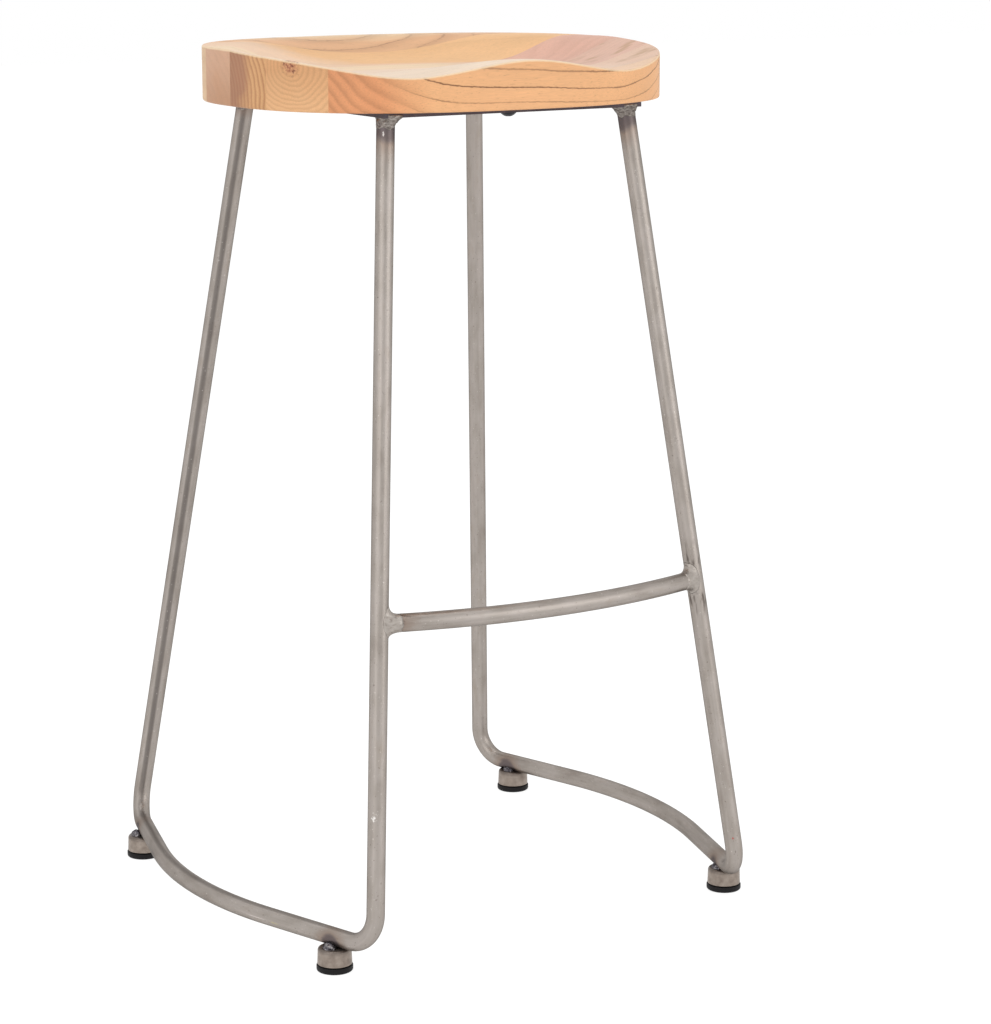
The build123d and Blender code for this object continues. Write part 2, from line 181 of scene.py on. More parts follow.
def oiled_fir(
    name, pith, bow, tilt, rings, fade, face, top, late, line, band, shake=5.0, streak=0.0, knot=0.0
):
    """One stave's wood. Its growth rings lie round a pith line that runs from side to side.

    pith is (y, z) of that line, bow is (per mm, x of its middle), tilt is how y drifts with x,
    and rings is (first radius, rings per mm, gain per mm) so that rings can narrow outwards.
    fade is (ring, ring, strength) over which the dark lines weaken. face and top are each
    (colour, other colour, direction, from mm, to mm), for upright and for level faces. line and
    band are the strengths of dark lines and soft bands on (face, turned face, top), and band
    ends with how many bands a year has. shake is how far the rings wander, in mm, streak is the
    strength of brown streaks where the top has turned, and knot is the radius of a cracked heart.
    """
    material, tree, shader = new_material(name)
    mm = place_in_mm(tree)
    xyz = add(tree, "SeparateXYZ", {0: mm}).outputs

    # Distance from the bowed pith line, shaken as wood is, with a ragged edge to each year
    from_middle = add(tree, "Math", {0: xyz["X"], 1: bow[1]}, operation="SUBTRACT").outputs[0]
    square = add(tree, "Math", {0: from_middle, 1: from_middle}, operation="MULTIPLY").outputs[0]
    pith_z = add(tree, "Math", {0: square, 1: bow[0], 2: pith[1]}, operation="MULTIPLY_ADD").outputs[0]
    pith_y = add(tree, "Math", {0: xyz["X"], 1: tilt, 2: pith[0]}, operation="MULTIPLY_ADD").outputs[0]
    aside = add(tree, "Math", {0: xyz["Y"], 1: pith_y}, operation="SUBTRACT").outputs[0]
    above = add(tree, "Math", {0: xyz["Z"], 1: pith_z}, operation="SUBTRACT").outputs[0]
    spoke = add(tree, "CombineXYZ", {1: aside, 2: above}).outputs[0]
    radius = add(tree, "VectorMath", {0: spoke}, operation="LENGTH").outputs["Value"]
    slow = add(tree, "VectorMath", {0: mm, 1: (1 / 150, 1 / 30, 1 / 30)}, operation="MULTIPLY").outputs[0]
    wander = add(tree, "TexNoise", {"Vector": slow, "Scale": 1.0, "Detail": 2.0}).outputs["Fac"]
    inset = -shake / 2 - rings[0]
    wander = add(tree, "Math", {0: wander, 1: shake, 2: inset}, operation="MULTIPLY_ADD").outputs[0]
    quick = add(tree, "VectorMath", {0: mm, 1: (1 / 5, 1 / 1.6, 1 / 1.6)}, operation="MULTIPLY").outputs[0]
    ragged = add(tree, "TexNoise", {"Vector": quick, "Scale": 1.0, "Detail": 2.0}).outputs["Fac"]
    wander = add(tree, "Math", {0: ragged, 1: YEAR_RAGGED, 2: wander}, operation="MULTIPLY_ADD").outputs[0]
    depth = add(tree, "Math", {0: radius, 1: wander}, operation="ADD").outputs[0]
    rate = add(tree, "Math", {0: depth, 1: rings[2], 2: rings[1]}, operation="MULTIPLY_ADD").outputs[0]
    count = add(tree, "Math", {0: depth, 1: rate}, operation="MULTIPLY").outputs[0]

    # Upright and level faces each turn from one colour to another, with a wavering edge
    broad = add(tree, "VectorMath", {0: mm, 1: (1 / 120, 1 / 26, 1 / 26)}, operation="MULTIPLY").outputs[0]
    drift = add(tree, "TexNoise", {"Vector": broad, "Scale": 1.0, "Detail": 3.0}).outputs["Fac"]
    upward = add(tree, "NewGeometry").outputs["Normal"]
    upward = add(tree, "SeparateXYZ", {0: upward}).outputs["Z"]
    level = add(tree, "MapRange", {0: upward, 1: 0.45, 2: 0.8}).outputs[0]
    turns = []
    colours = []
    for first, other, way, start, end in (face, top):
        run = add(tree, "VectorMath", {0: mm, 1: way}, operation="DOT_PRODUCT").outputs["Value"]
        run = add(tree, "Math", {0: drift, 1: TURN_WAVER, 2: run}, operation="MULTIPLY_ADD").outputs[0]
        span = {1: start + TURN_WAVER / 2, 2: end + TURN_WAVER / 2}
        turns.append(add(tree, "MapRange", {0: run, **span}).outputs[0])
        mixed = {0: turns[-1], 6: linear(first), 7: linear(other)}
        colours.append(add(tree, "Mix", mixed, data_type="RGBA").outputs[2])
    colour = add(tree, "Mix", {0: level, 6: colours[0], 7: colours[1]}, data_type="RGBA").outputs[2]

    # Late wood: a sharp ragged line at the end of each year, and soft bands that lead up to it
    share = add(tree, "Math", {0: count}, operation="FRACT").outputs[0]
    sharp = add(tree, "ValToRGB", {0: share}, stops=[
        (0.0, grey(0.7)), (0.03, grey(0.0)), (0.90, grey(0.0)), (0.965, grey(1.0)), (1.0, grey(1.0)),
    ]).outputs[0]
    year = add(tree, "Math", {0: count}, operation="FLOOR").outputs[0]
    luck = add(tree, "TexWhiteNoise", {"W": year}, noise_dimensions="1D").outputs["Value"]
    luck = add(tree, "MapRange", {0: luck, 3: 0.8, 4: 1.0}).outputs[0]
    faded = add(tree, "MapRange", {0: count, 1: fade[0], 2: fade[1], 3: 1.0, 4: fade[2]}).outputs[0]
    patchy = add(tree, "TexNoise", {"Vector": slow, "Scale": 1.7, "Detail": 3.0}).outputs["Fac"]
    patchy = add(tree, "MapRange", {0: patchy, 1: 0.35, 2: 0.6, 3: 0.6, 4: 1.0}).outputs[0]
    strength = add(tree, "MapRange", {0: turns[0], 3: line[0], 4: line[1]}).outputs[0]
    strength = add(tree, "MapRange", {0: level, 3: strength, 4: line[2]}).outputs[0]
    for factor in (luck, faded, patchy, strength):
        sharp = add(tree, "Math", {0: sharp, 1: factor}, operation="MULTIPLY").outputs[0]
    bands = add(tree, "Math", {0: count, 1: band[3]}, operation="MULTIPLY").outputs[0]
    bands = add(tree, "Math", {0: bands}, operation="FRACT").outputs[0]
    soft = add(tree, "ValToRGB", {0: bands}, stops=[
        (0.0, grey(0.6)), (0.18, grey(0.0)), (0.45, grey(0.05)), (0.88, grey(1.0)), (1.0, grey(0.8)),
    ]).outputs[0]
    strength = add(tree, "MapRange", {0: turns[0], 3: band[0], 4: band[1]}).outputs[0]
    strength = add(tree, "MapRange", {0: level, 3: strength, 4: band[2]}).outputs[0]
    soft = add(tree, "Math", {0: soft, 1: strength}, operation="MULTIPLY").outputs[0]
    dark = add(tree, "Math", {0: sharp, 1: soft}, operation="MAXIMUM").outputs[0]
    colour = add(tree, "Mix", {0: dark, 6: colour, 7: linear(late)}, data_type="RGBA").outputs[2]

    # Clouds of tone, fibres 0.9 mm apart and about 14 mm long, and short open pores
    fine = add(tree, "VectorMath", {0: mm, 1: (1 / 14, 1 / 0.9, 1 / 0.9)}, operation="MULTIPLY").outputs[0]
    fibre = add(tree, "TexNoise", {"Vector": fine, "Scale": 1.0, "Detail": 3.0}).outputs["Fac"]
    short = add(tree, "VectorMath", {0: mm, 1: (1 / 7, 1 / 0.7, 1 / 0.7)}, operation="MULTIPLY").outputs[0]
    pore = add(tree, "TexNoise", {"Vector": short, "Scale": 1.0, "Detail": 1.0}).outputs["Fac"]
    pore = add(tree, "MapRange", {0: pore, 1: 0.66, 2: 0.74, 3: 0.0, 4: 0.3}).outputs[0]
    tone = add(tree, "MapRange", {0: fibre, **MOST, 3: 0.94, 4: 1.06}).outputs[0]
    cloud = add(tree, "MapRange", {0: drift, **MOST, 3: 0.95, 4: 1.04}).outputs[0]
    for factor in (tone, cloud):
        colour = add(tree, "VectorMath", {0: colour, 1: factor}, operation="MULTIPLY").outputs[0]
    colour = add(tree, "Mix", {0: pore, 6: colour, 7: linear(late)}, data_type="RGBA").outputs[2]

    # Brown streaks along the grain
    if streak:
        long = add(tree, "VectorMath", {0: mm, 1: (1 / 60, 1 / 12, 1 / 12)}, operation="MULTIPLY").outputs[0]
        stain = add(tree, "TexNoise", {"Vector": long, "Scale": 1.0, "Detail": 4.0}).outputs["Fac"]
        stain = add(tree, "MapRange", {0: stain, 1: 0.54, 2: 0.66, 3: 0.0, 4: streak}).outputs[0]
        stain = add(tree, "Math", {0: stain, 1: turns[1]}, operation="MULTIPLY").outputs[0]
        colour = add(tree, "Mix", {0: stain, 6: colour, 7: linear("#A07A4A")}, data_type="RGBA").outputs[2]

    # The heart of the trunk, rusty and cracked
    if knot:
        crack = add(tree, "TexNoise", {"Vector": mm, "Scale": 0.42, "Detail": 3.0}).outputs["Fac"]
        near = add(tree, "Math", {0: crack, 1: KNOT_CRACKS, 2: radius}, operation="MULTIPLY_ADD").outputs[0]
        heart = {0: near, 1: knot + KNOT_START, 2: knot + KNOT_FULL, 3: 0.0, 4: 0.9}
        heart = add(tree, "MapRange", heart).outputs[0]
        rust = add(tree, "ValToRGB", {0: crack}, stops=[
            (0.36, linear("#6E382A")), (0.48, linear("#B06C50")), (0.62, linear("#CF9A70")),
        ]).outputs[0]
        colour = add(tree, "Mix", {0: heart, 6: colour, 7: rust}, data_type="RGBA").outputs[2]

    # Edges are paler where the face leans between upright and level: partly sanding wear, partly a painted
    # highlight
    edge = add(tree, "ValToRGB", {0: upward}, stops=[
        (0.15, grey(0.0)), (0.35, grey(0.7)), (0.62, grey(0.7)), (0.8, grey(0.0)),
    ]).outputs[0]
    colour = add(tree, "Mix", {0: edge, 6: colour, 7: linear("#F1D9B4")}, data_type="RGBA").outputs[2]

    grain = add(tree, "Math", {0: fibre, 1: dark, 2: pore}, operation="MULTIPLY_ADD").outputs[0]
    bump = add(tree, "Bump", {"Height": grain, "Strength": 0.25, "Distance": 0.0002}).outputs[0]
    gloss = add(tree, "MapRange", {0: fibre, **MOST, 3: 0.50, 4: 0.60}).outputs[0]
    dress(tree, shader, colour, gloss, bump)
    shader.inputs["IOR"].default_value = 1.47
    return material


# Drawn steel tube under clear lacquer. Drawing leaves faint lines along it, mill scale leaves soft
# grey and brown clouds and specks, a dark stripe along one side is a painted dark reflection, and
# each weld leaves violet, brown and straw tints. Handling has left a few scuffs.

DARK_REFLECTION_START = 7.25  # how far out on the painted dark reflection's side the stripe starts, in mm
REAR_LEG_START, REAR_LEG_END = 1150, 1230  # mm along the tube over which the painted dark reflection grows stronger
SCUFF_NONE, SCUFF_FULL = 0.55, 0.25  # shares of a scuff's half sizes, without its ragged edge
SCUFF_STRENGTH = 0.8

# Centre and half sizes in mm, how ragged the edge is, and colour
SCUFFS = [
    ((-238, -102, 28.3), (26, 26, 0.95), 0.3, "#D6CDC8"),
    ((-229, -124, 27.9), (16, 13, 1.8), 0.6, "#BDB38F"),
    ((-186.7, -222.3, 142.7), (3, 4, 6), 2.4, "#E9E6E2"),
    ((184.3, -234.0, 65.4), (1.5, 2, 3), 2.4, "#B0504A"),
    ((-129.5, -146.5, 716.5), (1.2, 1.6, 3.4), 2.4, "#C8C2BE"),
]


def drawn_steel():
    material, tree, shader = new_material("drawn_steel_lacquered")
    skin = add(tree, "Attribute", attribute_name="tube_skin").outputs["Vector"]
    heat = add(tree, "Attribute", attribute_name="weld_heat").outputs["Fac"]
    soot = add(tree, "Attribute", attribute_name="weld_soot").outputs["Fac"]
    mm = place_in_mm(tree)
    along = add(tree, "VectorMath", {0: skin, 1: (1 / 1.6, 1 / 1.6, 1 / 90)}, operation="MULTIPLY").outputs[0]
    lines = add(tree, "TexNoise", {"Vector": along, "Scale": 1.0, "Detail": 2.0}).outputs["Fac"]
    clouds = add(tree, "VectorMath", {0: skin, 1: (1 / 11, 1 / 11, 1 / 34)}, operation="MULTIPLY").outputs[0]
    cloud = add(tree, "TexNoise", {"Vector": clouds, "Scale": 1.0, "Detail": 4.0}).outputs["Fac"]
    dots = add(tree, "VectorMath", {0: skin, 1: (1 / 1.5, 1 / 1.5, 1 / 2.2)}, operation="MULTIPLY").outputs[0]
    speck = add(tree, "TexNoise", {"Vector": dots, "Scale": 1.0, "Detail": 1.0}).outputs["Fac"]

    colour = add(tree, "ValToRGB", {0: cloud}, stops=[
        (0.25, linear("#938A83")), (0.45, linear("#A29A93")), (0.6, linear("#AAA29C")),
        (0.8, linear("#A0968C")),
    ]).outputs[0]
    tone = add(tree, "MapRange", {0: lines, **MOST, 3: 0.95, 4: 1.05}).outputs[0]
    colour = add(tree, "VectorMath", {0: colour, 1: tone}, operation="MULTIPLY").outputs[0]
    # The painted dark reflection shows most on the rear leg, past the second bend
    on_skin = add(tree, "SeparateXYZ", {0: skin}).outputs
    painted_dark_reflection_strength = {0: on_skin["Z"], 1: REAR_LEG_START, 2: REAR_LEG_END, 3: 0.4, 4: 0.64}
    painted_dark_reflection_strength = add(tree, "MapRange", painted_dark_reflection_strength).outputs[0]
    painted_dark_reflection = {0: on_skin["X"], 1: DARK_REFLECTION_START, 2: TUBE_RADIUS, 3: 0.0, 4: painted_dark_reflection_strength}
    painted_dark_reflection = add(tree, "MapRange", painted_dark_reflection, interpolation_type="SMOOTHSTEP").outputs[0]
    colour = add(tree, "Mix", {0: painted_dark_reflection, 6: colour, 7: linear("#4A4442")}, data_type="RGBA").outputs[2]
    dark = add(tree, "MapRange", {0: speck, 1: 0.70, 2: 0.76, 3: 0.0, 4: 0.5}).outputs[0]
    colour = add(tree, "Mix", {0: dark, 6: colour, 7: linear("#5A514B")}, data_type="RGBA").outputs[2]
    white = add(tree, "MapRange", {0: speck, 1: 0.28, 2: 0.24, 3: 0.0, 4: 0.5}).outputs[0]
    colour = add(tree, "Mix", {0: white, 6: colour, 7: linear("#DAD4CE")}, data_type="RGBA").outputs[2]

    # Heat tint by distance from the nearest weld, where 1 is the end of its dark zone
    reach = add(tree, "MapRange", {0: cloud, **MOST, 3: -0.12, 4: 0.12}).outputs[0]
    reach = add(tree, "Math", {0: heat, 1: reach}, operation="ADD").outputs[0]
    tint = add(tree, "ValToRGB", {0: reach}, stops=[
        (0.0, linear("#514846")), (0.55, linear("#5D5354")), (0.82, linear("#665A58")),
        (0.98, linear("#846C5C")),
    ]).outputs[0]
    burnt = add(tree, "ValToRGB", {0: reach}, stops=[(0.75, grey(0.92)), (0.98, grey(0.5))]).outputs[0]
    cooled = add(tree, "MapRange", {0: reach, 1: 0.95, 2: 1.6, 3: 1.0, 4: 0.0}).outputs[0]
    burnt = add(tree, "Math", {0: burnt, 1: cooled}, operation="MULTIPLY").outputs[0]
    colour = add(tree, "Mix", {0: burnt, 6: colour, 7: tint}, data_type="RGBA").outputs[2]

    # Streaks of soot dragged along the tube beside the footrest's welds
    drag = add(tree, "VectorMath", {0: skin, 1: (1 / 2.4, 1 / 2.4, 1 / 14)}, operation="MULTIPLY").outputs[0]
    streak = add(tree, "TexNoise", {"Vector": drag, "Scale": 1.0, "Detail": 2.0}).outputs["Fac"]
    streak = add(tree, "MapRange", {0: streak, 1: 0.52, 2: 0.66, 3: 0.0, 4: 0.75}).outputs[0]
    streak = add(tree, "Math", {0: streak, 1: soot}, operation="MULTIPLY").outputs[0]
    colour = add(tree, "Mix", {0: streak, 6: colour, 7: linear("#4C423D")}, data_type="RGBA").outputs[2]

    for centre, sizes, ragged, paint in SCUFFS:
        away = add(tree, "VectorMath", {0: mm, 1: centre}, operation="SUBTRACT").outputs[0]
        away = add(tree, "VectorMath", {0: away, 1: sizes}, operation="DIVIDE").outputs[0]
        away = add(tree, "VectorMath", {0: away}, operation="LENGTH").outputs["Value"]
        away = add(tree, "Math", {0: speck, 1: ragged, 2: away}, operation="MULTIPLY_ADD").outputs[0]
        scuff = {1: ragged / 2 + SCUFF_NONE, 2: ragged / 2 + SCUFF_FULL, 3: 0.0, 4: SCUFF_STRENGTH}
        scuff = add(tree, "MapRange", {0: away, **scuff}).outputs[0]
        colour = add(tree, "Mix", {0: scuff, 6: colour, 7: linear(paint)}, data_type="RGBA").outputs[2]

    rough = add(tree, "MapRange", {0: cloud, **MOST, 3: 0.34, 4: 0.44}).outputs[0]
    ridge = add(tree, "Math", {0: lines, 1: 0.5, 2: speck}, operation="MULTIPLY_ADD").outputs[0]
    bump = add(tree, "Bump", {"Height": ridge, "Strength": 0.15, "Distance": 0.0002}).outputs[0]
    dress(tree, shader, colour, rough, bump)
    shader.inputs["Metallic"].default_value = 0.8
    shader.inputs["Specular Tint"].default_value = grey(0.3)
    return material


# Weld metal. Left as laid it is ripples of bright and dull grey with dark pits between them, and
# on a foot it has run into a darker, shinier lump. Ground smooth, at the footrest, it is an even
# satin grey with a thin dark outline on the leg.

def weld_steel(name, stops, scale_mm, rough, bump_depth_mm):
    """Weld metal with ripples of about scale_mm, in colours from the pits to the crests."""
    material, tree, shader = new_material(name)
    mm = place_in_mm(tree)
    ripples = add(tree, "VectorMath", {0: mm, 1: (1, 1, 1.9)}, operation="MULTIPLY").outputs[0]
    lump = {"Vector": ripples, "Scale": 1 / scale_mm, "Detail": 3.0, "Roughness": 0.58}
    lump = add(tree, "TexNoise", lump).outputs["Fac"]
    paints = [(level, linear(paint)) for level, paint in stops]
    colour = add(tree, "ValToRGB", {0: lump}, stops=paints).outputs[0]
    outline = add(tree, "Attribute", attribute_name="weld_edge").outputs["Fac"]
    outline = add(tree, "MapRange", {0: outline, 1: 0.5, 2: 0.9, 3: 0.0, 4: 0.7}).outputs[0]
    colour = add(tree, "Mix", {0: outline, 6: colour, 7: linear("#4A413D")}, data_type="RGBA").outputs[2]
    gloss = add(tree, "MapRange", {0: lump, **MOST, 3: rough[0], 4: rough[1]}).outputs[0]
    bump = add(tree, "Bump", {"Height": lump, "Strength": 0.5, "Distance": bump_depth_mm * MM}).outputs[0]
    dress(tree, shader, colour, gloss, bump)
    shader.inputs["Metallic"].default_value = 0.75
    shader.inputs["Specular Tint"].default_value = grey(0.3)
    return material


# Turned steel cup: satin, with fine rings round it from the lathe, and painted shade darkening its top under
# the rail and weld.

def turned_steel():
    material, tree, shader = new_material("turned_steel_satin")
    mm = place_in_mm(tree)
    height = add(tree, "SeparateXYZ", {0: mm}).outputs["Z"]
    rings = {"W": height, "Scale": 2.2, "Detail": 2.0}
    rings = add(tree, "TexNoise", rings, noise_dimensions="1D").outputs["Fac"]
    cloud = add(tree, "TexNoise", {"Vector": mm, "Scale": 0.16, "Detail": 4.0}).outputs["Fac"]
    colour = add(tree, "ValToRGB", {0: cloud}, stops=[
        (0.3, linear("#7E7269")), (0.5, linear("#92867C")), (0.7, linear("#A2968C")),
    ]).outputs[0]
    tone = add(tree, "MapRange", {0: rings, **MOST, 3: 0.9, 4: 1.08}).outputs[0]
    colour = add(tree, "VectorMath", {0: colour, 1: tone}, operation="MULTIPLY").outputs[0]
    # Painted shade: the top of the cup turns darker where the rail and weld shade it
    top = add(tree, "MapRange", {0: height, 1: 16.5, 2: 20.5, 3: 0.0, 4: 0.75}).outputs[0]
    colour = add(tree, "Mix", {0: top, 6: colour, 7: linear("#5F5651")}, data_type="RGBA").outputs[2]
    bump = add(tree, "Bump", {"Height": rings, "Strength": 0.15, "Distance": 0.0002}).outputs[0]
    rough = add(tree, "MapRange", {0: cloud, **MOST, 3: 0.35, 4: 0.48}).outputs[0]
    dress(tree, shader, colour, rough, bump)
    shader.inputs["Metallic"].default_value = 0.75
    return material


# Smaller finishes that share one build: a cloudy colour, a grain bump and a roughness range.

def cloudy_finish(name, dark, light, cloud_mm, grain_mm, rough, metallic, bump_depth_mm):
    material, tree, shader = new_material(name)
    mm = place_in_mm(tree)
    cloud = add(tree, "TexNoise", {"Vector": mm, "Scale": 1 / cloud_mm, "Detail": 4.0}).outputs["Fac"]
    grain = add(tree, "TexNoise", {"Vector": mm, "Scale": 1 / grain_mm, "Detail": 2.0}).outputs["Fac"]
    colour = add(tree, "ValToRGB", {0: cloud}, stops=[(0.3, linear(dark)), (0.7, linear(light))]).outputs[0]
    gloss = add(tree, "MapRange", {0: cloud, **MOST, 3: rough[0], 4: rough[1]}).outputs[0]
    depth = bump_depth_mm * MM
    bump = add(tree, "Bump", {"Height": grain, "Strength": 0.4, "Distance": depth}).outputs[0]
    dress(tree, shader, colour, gloss, bump)
    shader.inputs["Metallic"].default_value = metallic
    return material


STAVES = {
    "seat_stave_1": dict(
        pith=(-435, 1023), bow=(-0.0011, 108), tilt=0.266, rings=(356.2, 0.0866, 0.00093),
        fade=(1.0, 3.5, 0.4),
        face=("#EFB581", "#E29B6B", (-1, 0, 0), 92, 138), top=("#E7D1B9", "#E5C2A3", (1, 0, 0), 30, 90),
        late="#6E4526", line=(1.0, 0.16, 0.1), band=(0.03, 0.27, 0.03, 1)),
    "seat_stave_2": dict(
        pith=(-93.4, 772), bow=(0.0001, -190), tilt=0.0, rings=(0.0, 0.235, 0.0), fade=(2.0, 14.0, 0.5),
        face=("#EDB987", "#DDA776", (0, 0, 1), 738, 768), top=("#E7D1BA", "#DBB9A2", (1, 0, 0), 60, 150),
        late="#A06C42", line=(0.22, 0.22, 0.05), band=(0.24, 0.24, 0.06, 1), shake=10.0, streak=0.45,
        knot=6.5),
    "seat_stave_3": dict(
        pith=(44, 735), bow=(0.00005, 0), tilt=0.02, rings=(89.0, 0.18, 0.0), fade=(0.0, 30.0, 1.0),
        face=("#DBA976", "#B08060", (0, 1, 0), -44, -28), top=("#E7CDB5", "#D6AF9B", (1, 0, 0), 60, 140),
        late="#9A5232", line=(0.75, 0.3, 0.06), band=(0.5, 0.35, 0.08, 1), shake=7.0, streak=0.45),
    "seat_stave_4": dict(
        pith=(75, 700), bow=(0.0002, -40), tilt=0.04, rings=(60.0, 0.11, 0.0), fade=(0.0, 30.0, 1.0),
        face=("#D6A98A", "#C59573", (0, 0, -1), -772, -742), top=("#E8CCAA", "#D6A894", (1, 0, 0), 20, 110),
        late="#8A5A3E", line=(0.08, 0.08, 0.12), band=(0.06, 0.06, 0.08, 1), shake=14.0),
    "seat_stave_5": dict(
        pith=(60, 640), bow=(0.0002, 60), tilt=0.03, rings=(100.0, 0.05, 0.0), fade=(0.0, 30.0, 1.0),
        face=("#DFBB94", "#DBB28A", (1, 0, 0), -60, 60), top=("#E6C4A6", "#E5B684", (0.25, 1, 0), 52, 72),
        late="#A87846", line=(0.2, 0.2, 0.2), band=(0.1, 0.1, 0.1, 1)),
    "seat_stave_6": dict(
        pith=(118, -400), bow=(0.0013, -25), tilt=0.0, rings=(1165.0, 0.13, 0.0), fade=(0.0, 30.0, 1.0),
        face=("#DAAA80", "#D6A47C", (1, 0, 0), -60, 60), top=("#DAAA80", "#DFBF98", (0, 1, 0), 120, 142),
        late="#7E5236", line=(0.5, 0.5, 0.62), band=(0.2, 0.2, 0.2, 1)),
}


# Meshes

def finish_mesh(name, mesh_maker, material, slot_name, *stands_for):
    """Turns a bmesh into a smooth-shaded piece of the stool that stands for CAD nodes."""
    bmesh.ops.recalc_face_normals(mesh_maker, faces=mesh_maker.faces)
    mesh = bpy.data.meshes.new(name)
    mesh_maker.to_mesh(mesh)
    mesh_maker.free()
    mesh.materials.append(material)
    mesh.shade_smooth()
    piece = bpy.data.objects.new(name, mesh)
    bpy.context.scene.collection.objects.link(piece)
    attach(piece, "stool")
    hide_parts(*stands_for)


def skin_rings(mesh_maker, rings):
    """Joins rings of vertices into a skin, with a cap on each end."""
    for ring, following in zip(rings, rings[1:]):
        for index in range(len(ring)):
            after = (index + 1) % len(ring)
            mesh_maker.faces.new((ring[index], ring[after], following[after], following[index]))
    mesh_maker.faces.new(list(reversed(rings[0])))
    mesh_maker.faces.new(rings[-1])


def straight_run(start, end):
    """Evenly spaced points from start up to, but not at, end."""
    steps = max(int((end - start).length / RING_STEP), 2)
    return [start.lerp(end, step / steps) for step in range(steps)]


def bent_line(corners, radii):
    """Centre points of a bent tube: straight runs joined by tangent arcs."""
    starts = [corners[0]]
    points = []
    for before, corner, after, radius in zip(corners, corners[1:], corners[2:], radii):
        into, out = (corner - before).normalized(), (after - corner).normalized()
        turn = into.angle(out)
        setback = radius * math.tan(turn / 2)
        centre_way = (out - into).normalized()
        centre = corner + centre_way * (radius / math.cos(turn / 2))
        arc_start = corner - into * setback
        axis = into.cross(out).normalized()
        points += straight_run(starts[-1], arc_start)
        steps = max(int(radius * turn / RING_STEP), FEWEST_BEND_STEPS)
        for step in range(steps):
            turned = Matrix.Rotation(turn * step / steps, 3, axis) @ (arc_start - centre)
            points.append(centre + turned)
        starts.append(corner + out * setback)
    return points + straight_run(starts[-1], corners[-1]) + [corners[-1]]


def soot_at(away):
    """How sooty a weld leaves a point: none on the weld itself, most beside it, then less."""
    return max(0.0, min(1.0, (away - SOOT_START) / SOOT_RISE, (SOOT_END - away) / SOOT_FALL))


def tube_mesh(points, painted_dark_reflection_way, start_cut, end_cut, welds, sooty):
    """A round tube along centre points, with a stripe of painted dark reflection on the side of the given way
    at the start.

    Each cut moves an end ring's points along the tube. welds are the (point, reach) of those that
    have tinted it, and sooty are the middles of those that have left soot on it.
    """
    maker = bmesh.new()
    skin = maker.verts.layers.float_vector.new("tube_skin")
    heat = maker.verts.layers.float.new("weld_heat")
    soot = maker.verts.layers.float.new("weld_soot")
    rings = []
    way = (points[1] - points[0]).normalized()
    side = painted_dark_reflection_way
    travelled = 0.0
    last = len(points) - 1
    for number, point in enumerate(points):
        ahead = points[min(number + 1, last)] - points[max(number - 1, 0)]
        new_way = ahead.normalized()
        side = way.rotation_difference(new_way) @ side
        side = (side - new_way * side.dot(new_way)).normalized()
        way = new_way
        if number:
            travelled += (point - points[number - 1]).length
        other = way.cross(side)
        ring = []
        for index in range(TUBE_SIDES):
            angle = 2 * math.pi * index / TUBE_SIDES
            out = side * math.cos(angle) + other * math.sin(angle)
            spot = point + out * TUBE_RADIUS
            if number == 0:
                spot = start_cut(spot, way)
            if number == last:
                spot = end_cut(spot, way)
            vert = maker.verts.new(spot * MM)
            vert[skin] = (TUBE_RADIUS * math.cos(angle), TUBE_RADIUS * math.sin(angle), travelled)
            vert[heat] = min((spot - weld).length / reach for weld, reach in welds)
            vert[soot] = max([soot_at((spot - weld).length) for weld in sooty], default=0.0)
            ring.append(vert)
        rings.append(ring)
    skin_rings(maker, rings)
    return maker


def sawn_level(spot, way):
    """Moves a point along the tube to the level of the leg tops."""
    return spot + way * ((FRAME_TOP - spot.z) / way.z)


def coped_to(leg_top, leg_corner, towards):
    """A cut that moves points along the tube until they meet a leg."""
    axis = (leg_top - leg_corner).normalized()
    reach = TUBE_RADIUS + COPE_GAP

    def cut(spot, way):
        run = way * towards
        beside = spot - leg_corner
        beside -= axis * beside.dot(axis)
        flat = run - axis * run.dot(axis)
        a, b, c = flat.dot(flat), 2 * flat.dot(beside), beside.dot(beside) - reach**2
        step = (-b - math.sqrt(max(b * b - 4 * a * c, 0))) / (2 * a)
        return spot + run * step

    return cut


def mirrored(point):
    """The same point on the other side of the stool."""
    return Vector((-point.x, point.y, point.z))


def point_at_level(top, corner, z):
    """The point of a leg's centre line at a height."""
    return corner.lerp(top, (z - corner.z) / (top.z - corner.z))


def foot_place(corner):
    """Middle of a foot on top of its cup, for the right-hand rail."""
    y = math.copysign(FOOT_Y, corner.y)
    on_rail = corner.lerp(RAIL_PEAK, (y - corner.y) / (RAIL_PEAK.y - corner.y))
    return Vector((on_rail.x + FOOT_OUTSET, y, CUP_TOP_Z))


def foot_lumps(corner):
    """Middles of the two lumps of weld on a foot, inner and outer, and the rail's direction."""
    along = (RAIL_PEAK - corner).normalized()
    across = along.cross(UP)
    if across.x < 0:
        across = -across
    place = foot_place(corner)
    return place - across * LUMP_REACH, place + across * LUMP_REACH, along


FOOTREST_END = point_at_level(FRONT_TOP, FRONT_CORNER, FOOTREST_Z)
FOOTREST_RADIUS = (FOOTREST_END.x**2 + FOOTREST_BOW**2) / (2 * FOOTREST_BOW)
FOOTREST_SWEEP = math.asin(FOOTREST_END.x / FOOTREST_RADIUS)


def footrest_point(angle):
    """A point on the bowed footrest's centre line, at an angle from its middle."""
    y = FOOTREST_END.y - FOOTREST_BOW + FOOTREST_RADIUS * (1 - math.cos(angle))
    return Vector((FOOTREST_RADIUS * math.sin(angle), y, FOOTREST_Z))


def footrest_line():
    """Centre points of the footrest, left to right, stopping short of the leg axes."""
    stop = FOOTREST_SWEEP - FOOTREST_STOP / FOOTREST_RADIUS
    steps = int(2 * stop * FOOTREST_RADIUS / RING_STEP)
    return [footrest_point(stop * (2 * step / steps - 1)) for step in range(steps + 1)]


